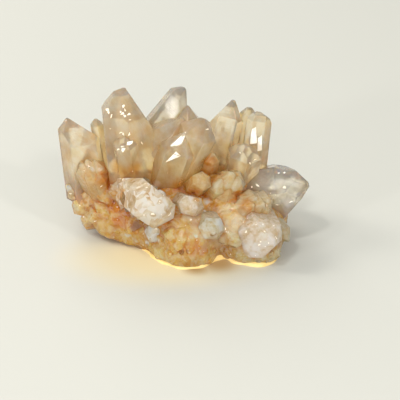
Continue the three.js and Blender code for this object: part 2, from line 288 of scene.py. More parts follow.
# %% [markdown]
# ## The base
# The base is one rough lump of quartz. A rock can be sculpted, or cut out of a block, but a skin over two
# outlines is easier to steer: one outline is its widest line, the other is where it meets the cut foot.
# A point of the skin is found from how far round it is and how far up, and the lumps are added to it.

# %% The two outlines of the base
BASE_LINE = np.array([  # widest line x, y, z, and foot x, y, from the right side to the back and round
    (41, 2, 8, 36, 2), (40, 13, 9, 34, 11), (33, 22, 10, 28, 19), (20, 27, 10, 17, 23), (5, 29, 10, 4, 25),
    (-12, 29, 10, -10, 25), (-28, 27, 12, -22, 22), (-41, 21, 14, -29, 17), (-44.5, 13, 15.5, -32, 11),
    (-45, 5, 15.5, -32, 5), (-42.3, 0.5, 13.5, -29, 1.5), (-38.8, -2.5, 9.5, -27, -1.5),
    (-35, -5, 6, -25, -4.5), (-29.5, -7.5, 4.5, -22, -7), (-23.5, -10, 3, -18.5, -10),
    (-17, -13, 2.5, -14.5, -13.5), (-13, -18, 2, -11.5, -18), (-8, -24, 1.4, -7, -23.5),
    (0, -28.5, 1.2, 0, -27.5), (8, -26.5, 1.6, 8, -25.5), (15.5, -20.5, 3, 15.5, -19.5),
    (22, -24, 2, 21.5, -23), (31.5, -27, 1.6, 31, -26), (38, -22, 2.5, 36.5, -21), (41, -11, 5, 38, -10)])
CROWN = np.array([-2.0, 3.0, 27.0])
SHOULDER = 0.8  # 1 makes the skin above the widest line an oval, and less makes it fuller


def round_trip(points, t):
    """A closed curve through the points: between two of them, a cubic whose slope at each runs parallel to the
    line through its neighbours."""
    n = len(points)
    t = np.asarray(t) * n
    i = np.floor(t).astype(int)
    f = (t - i)[..., None]
    a, b, c, d = (points[(i + k) % n] for k in (-1, 0, 1, 2))
    return b + 0.5 * f * (c - a + f * (2 * a - 5 * b + 4 * c - d + f * (3 * (b - c) + d - a)))


# %% Two kinds of lumps
SCRAMBLE = np.array([(127.1, 311.7, 74.7), (269.5, 183.3, 246.1), (113.5, 271.9, 124.6), (37.7, 91.3, 57.1)])
STRETCH = 43758.5453


def chance(cell, which, seed):
    """A random value from 0 to 1 for each cell of a lattice: the fraction of a large multiple of a sine."""
    value = np.sin(cell @ SCRAMBLE[which] + seed) * STRETCH
    return value - np.floor(value)


def smooth_noise(p, size, seed):
    """Noise between -1 and 1: a random value at each corner of a lattice, blended smoothly across each cell."""
    cell = np.floor(p / size)
    f = p / size - cell
    f = f * f * (3 - 2 * f)
    total = 0.0
    for corner in np.ndindex(2, 2, 2):
        weight = np.prod(np.where(np.array(corner) == 1, f, 1 - f), axis=-1)
        total = total + weight * (2 * chance(cell + corner, 0, seed) - 1)
    return total


def facets(p, size, seed):
    """Height of a surface made of flat faces without steps. Space is split into cells; round a random point of
    each cell stands a pyramid that falls away as the largest of three slanted distances; the highest counts."""
    cell = np.floor(p / size)
    high = np.full(p.shape[:-1], -9.0)
    for step in np.ndindex(3, 3, 3):
        c = cell + np.array(step) - 1
        draw = [chance(c, which, seed) for which in range(4)]
        away = p / size - c - np.stack(draw[:3], -1)
        lean, rise = draw[3] * np.pi * 2, draw[0] * np.pi
        u = np.stack([np.cos(lean) * np.cos(rise), np.sin(lean) * np.cos(rise), np.sin(rise)], -1)
        v = np.stack([-np.sin(lean), np.cos(lean), np.zeros_like(lean)], -1)
        far = np.max([np.abs(np.einsum("...i,...i", away, k)) for k in (u, v, np.cross(u, v))], 0)
        high = np.maximum(high, 0.5 * draw[3] - far)
    return high * size


# %% The skin of the base
ROUND, LOWER, UPPER = 180, 16, 44  # points round it, and rows below and above its widest line
LUMPS, LUMP_HIGH = 8.0, 1.3        # how far apart the soft lumps are, and how high
FLATS, FLAT_HIGH = 6.5, 0.3        # how far apart the flat-sided ones are, and the share of their height
SUNK = 0.2                         # how far the whole skin is pulled in, in millimetres
OFF_FLOOR = 0.25                   # the lumps stay this far above the cut foot


def rock_skin():
    """Points (rows, round, 3) of the skin in millimetres, and the normals there. A row's height runs from -1,
    the foot, through 0, the widest line, to 1, the crown. Below, the point moves out from the foot as the sine
    of its height; above, it moves in to the crown as one minus a power of the cosine, and up as the sine."""
    turn = np.arange(ROUND) / ROUND
    wide = round_trip(BASE_LINE[:, :3], turn)
    foot = np.column_stack([round_trip(BASE_LINE[:, 3:], turn), np.zeros(ROUND)])
    rows = np.concatenate([np.linspace(-1, 0, LOWER, endpoint=False), np.linspace(0, 0.99, UPPER)])
    h = rows[:, None, None]
    low = np.clip(h + 1, 0, 1)
    below = foot + (wide - foot) * np.sin(low * np.pi / 2)
    below[..., 2] = wide[:, 2] * low[..., 0]
    up = np.clip(h, 0, 1) * np.pi / 2
    above = wide + (CROWN - wide) * (1 - np.cos(up) ** SHOULDER)
    above[..., 2] = wide[:, 2] + (CROWN[2] - wide[:, 2]) * np.sin(up)[..., 0]
    skin = np.where(h < 0, below, above)
    normal = np.cross(np.roll(skin, -1, 1) - np.roll(skin, 1, 1), np.gradient(skin, axis=0))
    normal /= np.linalg.norm(normal, axis=2, keepdims=True) + 1e-9
    lumps = smooth_noise(skin, LUMPS, 53.3) * LUMP_HIGH + facets(skin, FLATS, 2) * FLAT_HIGH
    calm = np.clip((rows + 1) * 6, 0, 1)[:, None]  # no lumps at the foot, and full ones from a sixth up
    skin = skin + normal * ((lumps - SUNK) * calm)[..., None]
    skin[..., 2] = np.maximum(skin[..., 2], np.where(rows > -1, OFF_FLOOR, 0.0)[:, None])
    return skin, normal


def closed_skin(name, skin, bottom, top):
    """A mesh from rows of points that each go round once, closed by a fan to one point at each end."""
    rows, count = skin.shape[:2]
    points = np.concatenate([skin.reshape(-1, 3), [bottom, top]]) - MIDDLE
    at = np.arange(rows * count).reshape(rows, count)
    ahead = np.roll(at, -1, 1)
    quads = np.stack([at[:-1], ahead[:-1], ahead[1:], at[1:]], -1).reshape(-1, 4)
    lower = np.stack([ahead[0], at[0], np.full(count, rows * count)], -1)
    upper = np.stack([at[-1], ahead[-1], np.full(count, rows * count + 1)], -1)
    mesh = mesh_of(name, points * MM, [*quads.tolist(), *lower.tolist(), *upper.tolist()])
    mesh.polygons.foreach_set("material_index", np.full(len(mesh.polygons), FINISHES.index("stained")))
    return mesh


skin, skin_normals = rock_skin()
rock_mesh = closed_skin("rock", skin, [0.0, 0.0, 0.0], CROWN)
print("rock skin:", len(rock_mesh.polygons), "faces")

# %% [markdown]
# ## Small crystals on the base
# Shorter crystals crowd the flanks, most of them stained like the rock. They are made in the same way as
# the large ones and welded to the rock. Each wide one is a bundle of parallel crystals, as quartz often
# grows. They could be copies of one model, but no two points in nature are alike, so each has its own
# facts.

# %% The list of small crystals
STAINED = [
    crystal((42.3, -17, 6), (33, -9, 13), 7, turn=5, blunt=0.4, finish="amber"),
    crystal((13, -29, 16), (9, -14, 14), 10, 9, turn=35, blunt=1, point=40, finish="glazed", shards=5),
    crystal((-2, -31, 9), (-1, -14, 12), 13, 12, turn=30, blunt=2, point=50, finish="stained"),
    crystal((-12.8, -21.5, 8), (-8, -10, 12), 8, turn=0, blunt=0.6, finish="frosted"),
    crystal((-21.5, -15.5, 8.5), (-16, -4, 12), 9, turn=20, blunt=0.8, finish="stained"),
    crystal((-47.5, 3, 21), (-37, 6, 15), 7, turn=15, blunt=0.6, finish="amber"),
    crystal((22, -27, 9), (18, -12, 12), 12, turn=5, blunt=2, finish="stained"),
    crystal((-38, -3, 36), (-32, 4, 14), 17, 11, turn=4, blunt=4, finish="amber"),
    crystal((12, -4, 39), (8, 3, 15), 6, turn=10, blunt=0.8, finish="amber"),
    crystal((20, -13, 35), (12, -1, 13), 19, 14, turn=18, blunt=6, finish="amber"),
    crystal((32, -20, 24.5), (22, -4, 12), 18, 15, turn=28, blunt=4.5, finish="amber"),
]
BUNDLED = 12    # a small crystal wider than this is a bundle
IN_BUNDLE = 7
print(len(STAINED), "small crystals")


def bundle(c, seed):
    """The facts of parallel crystals that fill the place of one: one in the middle and the others round it."""
    rng = np.random.default_rng(seed)
    tip, root = np.array(c["tip"], float), np.array(c["root"], float)
    axis = (tip - root) / np.linalg.norm(tip - root)
    u = np.cross(axis, (0, 0, 1)) / np.linalg.norm(np.cross(axis, (0, 0, 1)))
    v = np.cross(axis, u)
    rows = []
    for k in range(IN_BUNDLE):
        around = 2 * np.pi * k / (IN_BUNDLE - 1) + rng.uniform(-0.3, 0.3)
        off = (k > 0) * 0.21 * (u * c["wide"] * np.cos(around) + v * c["thick"] * np.sin(around))
        low = c["wide"] * (0.04 + (k > 0) * rng.uniform(0.02, 0.26))
        rows.append(crystal(tip + off - axis * low, root + 0.7 * off, c["thick"] * rng.uniform(0.5, 0.66),
                            turn=rng.uniform(0, 60), blunt=rng.uniform(0.3, 1.2), edge=0.25,
                            finish=c["finish"]))
    return rows


# %% [markdown]
# ## The crust and the splinters
# Little points stand between the small crystals, and on the broken crystals splinters stick out on all
# sides. Geometry Nodes could scatter them, but then each would be a copy. Here a few draws of chance give
# every one its own place, width, turn and lean, and it is a crystal like the others.

# %% Little crystals that stand on a surface
def crusted(spots, normals, widths, fan, seed, finishes, along=(0, 0, 0)):
    """The facts of little crystals on a surface. Each axis is the surface's normal, turned towards a shared
    direction and fanned out at random, and each tip stands proud by a share of its width. None is wide near
    the floor, and they take the finishes in turn."""
    rng = np.random.default_rng(seed)
    rows = []
    for spot, normal, wide in zip(spots, normals, rng.uniform(*widths, len(spots))):
        wide = min(wide, 0.75 * spot[2] + 1.0)
        axis = normal + along + rng.normal(0, fan, 3)
        axis /= np.linalg.norm(axis)
        tip = spot + axis * wide * rng.uniform(0.12, 0.32)
        root = spot - axis * (0.8 * wide + 1.5)
        rows.append(crystal(tip, root, wide, wide * rng.uniform(0.6, 1.0), turn=rng.uniform(0, 60), edge=0.1,
                            blunt=wide * rng.uniform(0.0, 0.12), finish=finishes[len(rows) % len(finishes)]))
    return rows


def scattered(mesh, count, seed):
    """Random places on a mesh, spread evenly over its area, with the normals there."""
    mesh.calc_loop_triangles()
    tris = np.empty(len(mesh.loop_triangles) * 3, int)
    mesh.loop_triangles.foreach_get("vertices", tris)
    a, b, c = (points_of(mesh)[tris[k::3]] / MM + MIDDLE for k in range(3))
    normal = np.cross(b - a, c - a)
    area = np.linalg.norm(normal, axis=1)
    rng = np.random.default_rng(seed)
    pick = rng.choice(len(area), count, p=area / area.sum())
    u, v = rng.random((2, count, 1))
    u, v = np.where(u + v > 1, 1 - u, u), np.where(u + v > 1, 1 - v, v)
    return a[pick] + (b - a)[pick] * u + (c - a)[pick] * v, normal[pick] / area[pick, None]


def dressed(c, seed):
    """The mesh of one crystal. A broken one has splinters, none of them within 2.5 mm of the floor."""
    mesh = crystal_mesh(c)
    if not c["shards"]:
        return mesh
    spots, normals = scattered(mesh, c["shards"], seed)
    clear_of_floor = spots[:, 2] > 2.5
    axis = np.subtract(c["tip"], c["root"])
    splinters = crusted(spots[clear_of_floor], normals[clear_of_floor], (0.25 * c["wide"], 0.48 * c["wide"]),
                        0.3, seed, ("frosted", "glazed", "pale"), 0.9 * axis / np.linalg.norm(axis))
    whole = welded("broken crystal", [mesh] + [crystal_mesh(each) for each in splinters])
    mesh = whole.data
    bpy.data.objects.remove(whole)
    return mesh


# %% Weld the crystals, and weld the base
CRUST = 260            # little crystals that are tried
CRUST_ROWS = (3, 46)   # rows of the skin that they stand on
CRUST_WIDE = (3.5, 10.0)

crystals = welded("quartz_points", [dressed(c, i) for i, c in enumerate(LARGE)])
print("quartz points:", len(crystals.data.polygons), "faces")
rng = np.random.default_rng(3)
row, col = rng.integers(*CRUST_ROWS, CRUST), rng.integers(0, ROUND, CRUST)
crust = crusted(skin[row, col], skin_normals[row, col], CRUST_WIDE, 0.4, 11, ("stained",))
crust = [c for c in crust if min(c["tip"][2], c["root"][2]) > 0.5 * c["wide"] + 0.2]
bundled = [each for i, c in enumerate(STAINED) if c["wide"] > BUNDLED for each in bundle(c, i)]
single = [c for c in STAINED if c["wide"] <= BUNDLED]
matrix = welded("quartz_base", [rock_mesh] + [crystal_mesh(c) for c in crust + bundled]
                + [dressed(c, i) for i, c in enumerate(single)])
print("quartz base:", len(crust), "little crystals,", len(matrix.data.polygons), "faces")

# %% [markdown]
# ## Places on the surface
# The stain, the frost and the flakes are placed from the front. They could be painted by hand on a map, but
# a place that is given in millimetres on the view's middle plane, and dropped along the line of sight onto
# the stone, is found again even after a crystal has moved.

# %% From the view to the surface
EYE = np.array(camera.location) / MM
seen_faces = [BVHTree.FromObject(body, bpy.context.evaluated_depsgraph_get()) for body in (crystals, matrix)]


def on_surface(right, up):
    """Where the line of sight through a point of the middle plane, millimetres right and up of its centre,
    first meets the cluster, with the normal there."""
    sight = Vector(AHEAD * AWAY + RIGHT * right + UP * up).normalized()
    hits = [faces.ray_cast(Vector(EYE * MM), sight) for faces in seen_faces]
    hits = [hit for hit in hits if hit[0]]
    if not hits:
        return None
    spot, normal, _, _ = min(hits, key=lambda hit: hit[3])
    return np.array(spot) / MM, np.array(normal)


def spots_on(rows):
    """Places on the surface for rows of millimetres right, millimetres up, and reach."""
    found = [(on_surface(right, up), reach) for right, up, reach in rows]
    return [(hit[0], reach) for hit, reach in found if hit]


print("in the middle of the view, mm:", on_surface(0, 0)[0].round(1))


# %% Where the stain and the frost lie
WHITE = spots_on([
    (19.9, -19.1, 3), (22.3, -21.5, 3), (23.1, -18.3, 3.2), (25.9, -17.1, 3.2), (28.7, -15.5, 3),
    (24.7, -14.3, 2.6), (20.3, -16.3, 2.8), (-18.3, 6.4, 2.4), (-20.7, -2.4, 2.6), (-15.1, -4.8, 2.6),
    (-13.9, -0.8, 2.2), (-4.4, 0.4, 2.4), (2.0, 0.0, 1.8), (5.6, -6.8, 2.2), (8.4, -10.8, 2.6),
    (2.4, -14.3, 2.2), (-2.0, -13.9, 1.6), (-29.1, -14.3, 2), (-26.7, -15.9, 1.6), (-21.5, -17.1, 2),
    (-17.9, -16.3, 1.6), (-53.4, 6.4, 2.2), (-52.6, 3.6, 1.6), (-43.0, 12.0, 1.4)])
ORANGE = spots_on([
    (-35.1, 2.0, 5), (-33.9, -2.0, 5), (-35.9, 6.0, 5), (-29.9, -8.8, 5), (-38.2, 8.8, 5), (-32.7, 12.0, 6),
    (-31.9, 0.0, 7), (-28.7, -4.8, 6), (-32.7, -8.8, 4), (-8.8, 5.6, 5), (5.6, 9.6, 5), (3.6, 15.9, 4),
    (18.3, -1.6, 4.5), (15.9, 3.2, 3.5), (-1.6, -18.7, 4), (1.6, -20.7, 3.5), (-26.3, 12.0, 5),
    (-1.6, 0.0, 2)])
BROWN = spots_on([
    (-25.5, -11.2, 3), (-21.5, -12.0, 2.5), (-7.6, -21.5, 2.2), (-2.4, 2.8, 1.8), (-4.8, -19.9, 1.6),
    (4.8, -13.1, 1.6)])
HONEY = spots_on([
    (-29.1, 10.8, 4.5), (-25.5, 8.4, 3.5), (-21.5, 1.2, 2)])
GOLD = spots_on([
    (-48.6, -2.4, 3), (-47.0, -4.8, 3), (-43.8, -7.6, 3), (-39.8, -9.6, 3), (-35.9, -11.6, 2.5),
    (-16.7, -21.5, 3), (-12.7, -25.1, 3.2), (-8.0, -26.7, 3.2), (-3.2, -26.7, 3.2), (1.2, -25.5, 3.2),
    (5.6, -24.3, 3.5), (10.4, -24.7, 3.5), (15.1, -25.1, 3), (19.9, -24.7, 2.6), (24.7, -24.3, 3.4),
    (28.7, -23.1, 3.4), (31.5, -21.5, 3)])
CREAM = spots_on([
    (-4.0, -6.0, 5), (0.0, -6.0, 5), (6.0, -6.0, 5), (10.0, -4.0, 4.5), (14.0, -2.0, 4), (2.0, -14.0, 4.5),
    (8.0, -16.0, 4.5), (12.7, -12.7, 5), (15.1, -8.8, 5), (10.0, -10.0, 5), (-2.0, -12.0, 3.5),
    (15.0, -18.0, 4)])
PATCHES = [  # places, tint, how it is mixed, where its edge begins as a share of the reach, and its strength
    (CREAM, (0.97, 0.78, 0.50), "MIX", 0.0, 0.75), (ORANGE, (0.95, 0.60, 0.20), "MULTIPLY", 0.2, 1.0),
    (BROWN, (0.52, 0.30, 0.13), "MULTIPLY", 0.3, 1.0), (HONEY, (0.86, 0.72, 0.48), "MULTIPLY", 0.2, 1.0),
    (GOLD, (1.0, 0.76, 0.36), "MIX", 0.1, 0.65), (WHITE, (1.0, 0.98, 0.93), "MIX", 0.25, 0.7)]
print("patches:", [len(patch[0]) for patch in PATCHES])

# %% [markdown]
# ## Finishes
# Clear quartz lets light through and bends it, and a long way through it turns the light warm. Glass
# values do that: much transmission, an index of refraction of 1.54, and a little absorption. Transmission
# alone would look cast, because the real stone is full of veils that catch light, so the rest of each
# finish scatters light under the surface, and more of it does in the frosted and the stained ones. Noise
# shifts the tint, dulls the shine in places and ripples the faces.

# %% Node helpers
def place(tree, kind, *inputs, **values):
    """A new node. Named values are its properties or the inputs of that name, and the others fill its inputs in
    order. An input takes a value or a link, and None leaves it alone."""
    node = tree.nodes.new(kind)
    for key in [key for key in values if hasattr(node, key)]:
        setattr(node, key, values.pop(key))
    for key, value in [*enumerate(inputs), *((key.replace("_", " "), values[key]) for key in values)]:
        if isinstance(value, bpy.types.NodeSocket):
            tree.links.new(value, node.inputs[key])
        elif value is not None:
            node.inputs[key].default_value = (*value, 1.0) if node.inputs[key].type == "RGBA" else value
    return node


def number(tree, operation, *inputs):
    """The result of a Math node."""
    return place(tree, "ShaderNodeMath", *inputs, operation=operation).outputs[0]


def vector(tree, operation, *inputs):
    """The result of a Vector Math node."""
    node = place(tree, "ShaderNodeVectorMath", *inputs, operation=operation)
    return node.outputs["Value" if operation == "DISTANCE" else "Vector"]


def ranged(tree, value, low, high, at_low, at_high, kind="LINEAR"):
    """A value made into another: at_low up to where it is low, at_high from where it is high."""
    node = place(tree, "ShaderNodeMapRange", value, low, high, at_low, at_high, interpolation_type=kind)
    return node.outputs["Result"]


def noise(tree, where, scale, detail, rough=0.5, out="Fac"):
    """Noise at a place: its value, or three values as a colour."""
    node = place(tree, "ShaderNodeTexNoise", Vector=where, Scale=scale, Detail=detail, Roughness=rough)
    return node.outputs[out]


def ramp(tree, value, *stops):
    """A colour ramp: each stop is a position and a colour."""
    node = place(tree, "ShaderNodeValToRGB", value)
    elements = node.color_ramp.elements
    for position, _ in stops[2:]:
        elements.new(position)
    for element, (position, colour) in zip(elements, stops):
        element.position = position
        element.color = (*colour, 1.0)
    return node.outputs["Color"]


def tinted(tree, colour, share, tint, kind="MIX"):
    """The colour with a tint mixed in, or multiplied in, by a share from 0 to 1. Each is a value or a link."""
    unused = [None] * 5
    mix = place(tree, "ShaderNodeMix", share, *unused, colour, tint, data_type="RGBA", blend_type=kind)
    return mix.outputs[2]


def bumped(tree, height, strength, distance, normal=None):
    """The normal of a surface with a height on it, on top of another normal if one is given."""
    node = place(tree, "ShaderNodeBump", Strength=strength, Distance=distance, Height=height, Normal=normal)
    return node.outputs["Normal"]


def start(name):
    """The tree of an emptied material, and its Object coordinates."""
    material = bpy.data.materials.get(name) or bpy.data.materials.new(name)
    material.use_nodes = True
    tree = material.node_tree
    tree.nodes.clear()
    return tree, tree.nodes.new("ShaderNodeTexCoord").outputs["Object"]


# %% Two shared groups: clouds inside quartz, and shards where it is broken
HEART = (-0.008, -0.002, 0.006)  # the stain is strongest round this point, in metres
ROOT = (-0.004, 0.004, -0.006)   # the crystals fan out from about here
HALF = (0.5, 0.5, 0.5)


def new_group(name, inputs, outputs):
    """An empty node group that takes a place and some values, with its inputs and its outputs."""
    group = bpy.data.node_groups.new(name, "ShaderNodeTree")
    face = group.interface
    face.new_socket("Place", in_out="INPUT", socket_type="NodeSocketVector")
    for label, value in inputs.items():
        face.new_socket(label, in_out="INPUT", socket_type="NodeSocketFloat").default_value = value
    for label, kind in outputs.items():
        face.new_socket(label, in_out="OUTPUT", socket_type="NodeSocket" + kind)
    return group, group.nodes.new("NodeGroupInput").outputs, group.nodes.new("NodeGroupOutput").inputs


def quartz_clouds():
    """Puts out a slow cloud, a fine cloud, fibres that fan out from the root of the cluster, how warm the stone
    is there, and a rippled height. The fibres are noise of the direction from the root, which stays the same
    along a ray, and the warmth falls with the distance from the heart, which the slow cloud makes uneven."""
    inputs = {"Cloud Scale": 70.0, "Ripple Scale": 240.0, "Warm Within": 0.022, "Clear Beyond": 0.046}
    labels = ("Cloud", "Fine", "Fibres", "Warmth", "Height")
    group, given, result = new_group("quartz clouds", inputs, dict.fromkeys(labels, "Float"))
    where = given["Place"]
    cloud = noise(group, where, given["Cloud Scale"], 3.0, 0.55)
    fine = noise(group, where, given["Ripple Scale"], 4.0, 0.6)
    ray = vector(group, "NORMALIZE", vector(group, "SUBTRACT", where, ROOT))
    fibres = noise(group, vector(group, "MULTIPLY_ADD", where, (4.0, 4.0, 4.0), ray), 24.0, 4.0, 0.65)
    uneven = number(group, "MULTIPLY_ADD", cloud, 0.03, vector(group, "DISTANCE", where, HEART))
    centred = number(group, "SUBTRACT", uneven, 0.015)
    warmth = ranged(group, centred, given["Warm Within"], given["Clear Beyond"], 1.0, 0.0, "SMOOTHSTEP")
    height = number(group, "MULTIPLY_ADD", fibres, 1.2, number(group, "MULTIPLY_ADD", cloud, 2.0, fine))
    for label, socket in zip(labels, (cloud, fine, fibres, warmth, height)):
        group.links.new(socket, result[label])
    return group


def quartz_shards():
    """Puts out a random value for each small flat shard of a broken surface, and the normal tilted at random in
    each."""
    group, given, result = new_group("quartz shards", {"Scale": 500.0, "Tilt": 0.5},
                                     {"Value": "Float", "Normal": "Vector"})
    cells = place(group, "ShaderNodeTexVoronoi", Vector=given["Place"], Scale=given["Scale"]).outputs["Color"]
    tilt = place(group, "ShaderNodeVectorMath", vector(group, "SUBTRACT", cells, HALF), operation="SCALE",
                 Scale=given["Tilt"]).outputs["Vector"]
    normal = group.nodes.new("ShaderNodeNewGeometry").outputs["Normal"]
    group.links.new(vector(group, "NORMALIZE", vector(group, "ADD", tilt, normal)), result["Normal"])
    group.links.new(place(group, "ShaderNodeSeparateColor", cells).outputs[0], result["Value"])
    return group


clouds, shards = quartz_clouds(), quartz_shards()
print("shared groups:", clouds.name, "and", shards.name)


# %% A quartz finish
def spots_mask(tree, where, spots, edge=0.5, most=1.0):
    """The most, usually 1, inside any of the spots, falling to 0 at its edge. Each spot is a place and a reach
    in millimetres, and edge is where the fall begins, as a share of the reach."""
    masks = [ranged(tree, vector(tree, "DISTANCE", where, tuple(np.multiply(spot, MM))), reach * edge * MM,
                    reach * MM, most, 0.0, "SMOOTHSTEP") for spot, reach in spots]
    return reduce(lambda one, other: number(tree, "MAXIMUM", one, other), masks)


PLAIN = (1.0, 1.0, 1.0)
CLOSE = 0.007  # faces nearer than this, in metres, count as a crevice
STIR = 0.006   # how far the edges of the patches wander, in metres
IOR = 1.54
GLOW = 0.008   # how far light spreads under the surface, in metres


def quartz(name, tones, warm, crevice, clear, rough, bump, steps, absorb, density, fibres, grain=240.0,
           shard=None, spread=(1.0, 0.9, 0.7)):
    """A quartz finish. tones are its deep and its pale colour, which the fine cloud runs through. warm tints it
    near the heart, and the crevice tint is painted shade: darker and warmer where faces stand close together.
    clear is its share of transmission, rough a low and a high roughness, and steps the strength of the growth
    lines. absorb and density are what it takes from light inside. fibres is how strong the fanned-out streaks
    are, and shard the scale, tilt and paleness of broken surfaces. spread is how far red, green and blue light
    scatter, as shares of the glow."""
    tree, spot = start(name)
    wander = vector(tree, "SUBTRACT", noise(tree, spot, 160.0, 2.0, out="Color"), HALF)
    stirred = vector(tree, "MULTIPLY_ADD", wander, (STIR, STIR, STIR), spot)
    cloudy = place(tree, "ShaderNodeGroup", Place=spot, Ripple_Scale=grain, node_tree=clouds).outputs
    deep, pale = tones
    colour = ramp(tree, cloudy["Fine"], (0.38, deep), (0.62, pale), (1.0, PLAIN))
    slow = ramp(tree, cloudy["Cloud"], (0.38, PLAIN), (0.62, (0.88, 0.82, 0.74)))
    colour = tinted(tree, colour, 1.0, slow, "MULTIPLY")
    colour = tinted(tree, colour, cloudy["Warmth"], warm, "MULTIPLY")
    streaks = ramp(tree, cloudy["Fibres"], (0.36, (0.90, 0.58, 0.26)), (0.58, PLAIN))
    colour = tinted(tree, colour, fibres, streaks, "MULTIPLY")
    # Painted shade: ambient occlusion makes the colour darker and warmer where faces stand close together.
    open_sky = place(tree, "ShaderNodeAmbientOcclusion", Distance=CLOSE, samples=6).outputs["AO"]
    colour = tinted(tree, colour, ranged(tree, open_sky, 0.15, 0.75, 1.0, 0.0), crevice, "MULTIPLY")
    for spots, tint, kind, edge, most in PATCHES:
        colour = tinted(tree, colour, spots_mask(tree, stirred, spots, edge, most), tint, kind)
    normal = None
    if shard:
        scale, tilt, paler = shard
        broken = place(tree, "ShaderNodeGroup", Place=stirred, Scale=scale, Tilt=tilt, node_tree=shards)
        frost = ranged(tree, broken.outputs["Value"], 0.35, 0.75, 0.0, paler)
        colour = tinted(tree, colour, frost, (1.0, 0.97, 0.90))
        normal = broken.outputs["Normal"]
    normal = bumped(tree, cloudy["Height"], bump, 0.0006, normal)
    if steps:
        growth = place(tree, "ShaderNodeUVMap", uv_map="growth").outputs["UV"]
        stretched = place(tree, "ShaderNodeMapping", growth, Scale=(0.6, 14.0, 1.0)).outputs["Vector"]
        normal = bumped(tree, noise(tree, stretched, 1.0, 3.0, 0.6), steps, 0.0004, normal)
    surface = place(tree, "ShaderNodeBsdfPrincipled", Base_Color=colour, Normal=normal, IOR=IOR,
                    Roughness=ranged(tree, cloudy["Cloud"], 0.35, 0.7, *rough), Transmission_Weight=clear,
                    Subsurface_Weight=1.0, Subsurface_Radius=spread, Subsurface_Scale=GLOW)
    inside = place(tree, "ShaderNodeVolumeAbsorption", Color=absorb, Density=density)
    place(tree, "ShaderNodeOutputMaterial", surface.outputs["BSDF"], inside.outputs["Volume"])


# %% The six finishes
quartz("clear", tones=((0.92, 0.84, 0.64), (1.0, 0.985, 0.92)), warm=(1.0, 0.92, 0.70),
       crevice=(0.98, 0.84, 0.56), clear=0.82, rough=(0.02, 0.09), bump=0.25, steps=0.25,
       absorb=(0.98, 0.935, 0.80), density=44.0, fibres=0.35)
quartz("pale", tones=((0.86, 0.86, 0.78), (1.0, 1.0, 0.98)), warm=(1.0, 0.94, 0.78),
       crevice=(0.98, 0.88, 0.64), clear=0.82, rough=(0.02, 0.09), bump=0.25, steps=0.25,
       absorb=(0.975, 0.965, 0.90), density=50.0, fibres=0.08)
quartz("glazed", tones=((0.74, 0.64, 0.42), (0.98, 0.96, 0.88)), warm=(1.0, 0.96, 0.84),
       crevice=(0.97, 0.88, 0.66), clear=0.55, rough=(0.02, 0.08), bump=0.3, steps=0.2,
       absorb=(0.98, 0.965, 0.84), density=30.0, fibres=0.25, grain=300.0, shard=(900.0, 0.2, 0.35),
       spread=(1.0, 0.95, 0.85))
quartz("frosted", tones=((0.66, 0.54, 0.36), (0.95, 0.92, 0.83)), warm=(1.0, 0.95, 0.82),
       crevice=(0.97, 0.88, 0.68), clear=0.5, rough=(0.02, 0.06), bump=0.06, steps=0.0,
       absorb=(0.98, 0.96, 0.86), density=30.0, fibres=0.0, grain=180.0, shard=(480.0, 0.35, 0.75),
       spread=(1.0, 0.97, 0.9))
quartz("amber", tones=((0.84, 0.66, 0.36), (0.96, 0.89, 0.68)), warm=(1.0, 0.84, 0.50),
       crevice=(0.95, 0.66, 0.28), clear=0.6, rough=(0.04, 0.15), bump=0.3, steps=0.2,
       absorb=(0.98, 0.88, 0.62), density=50.0, fibres=0.45, shard=(700.0, 0.2, 0.1))
quartz("stained", tones=((0.80, 0.52, 0.16), (0.95, 0.82, 0.48)), warm=(1.0, 0.84, 0.46),
       crevice=(0.94, 0.58, 0.20), clear=0.5, rough=(0.03, 0.10), bump=0.3, steps=0.0,
       absorb=(0.985, 0.86, 0.54), density=50.0, fibres=0.6, grain=260.0, shard=(750.0, 0.6, 0.2))
print("finishes:", ", ".join(FINISHES))

# %% [markdown]
# ## Veils inside the crystals
# Old cracks that healed leave thin bright veils inside quartz. They could be painted on, but they should
# shift against the faces when the cluster turns, so they are real sheets: wavy lenses inside the crystals
# at the front.

# %% Veils
RINGS, SPOKES = 7, 30
VEILED, VEILS = 12, 3   # how many of the large crystals have veils, and how many each has
VEIL_THICK = 0.08       # half its thickness in the middle


def veils(hosts, each, seed):
    """Thin wavy lenses inside crystals. A point of one is centre + R(a) r (cos a, sin a), where the outline R
    wanders with the angle; it rises with waves across the sheet, and its two skins stand apart by a thickness
    that falls to 0 at the rim."""
    rng = np.random.default_rng(seed)
    points = []
    r = np.linspace(0, 1, RINGS)[:, None]
    a = np.arange(SPOKES) / SPOKES * 2 * np.pi
    for c in hosts:
        tip, root = np.array(c["tip"], float), np.array(c["root"], float)
        axis = (tip - root) / np.linalg.norm(tip - root)
        for _ in range(each):
            size = c["wide"] * rng.uniform(0.16, 0.3)
            centre = tip - axis * (c["wide"] * rng.uniform(0.75, 2.0)) + rng.normal(0, 0.09 * c["wide"], 3)
            normal = np.cross(axis, rng.normal(size=3)) + axis * rng.normal(0, 0.5)
            normal /= np.linalg.norm(normal)
            u = np.cross(normal, axis)
            u /= np.linalg.norm(u)
            v = np.cross(normal, u)
            waves = [rng.uniform(-0.16, 0.16) * np.cos(k * a + rng.uniform(0, 6)) for k in (2, 3, 5, 8)]
            wander = 1 + sum(waves)
            x, y = size * 0.7 * wander * r * np.cos(a), size * 1.2 * wander * r * np.sin(a)
            wave = np.sin(x * 5 / size + rng.uniform(0, 6)) + np.sin(y * 4 / size + rng.uniform(0, 6))
            wave = 0.09 * size * wave[..., None]
            sheet = centre + x[..., None] * u + y[..., None] * v + wave * normal
            half = (VEIL_THICK * (1 - r ** 2))[..., None] * normal
            points.append(np.stack([sheet + half, sheet - half]))
    return np.array(points)


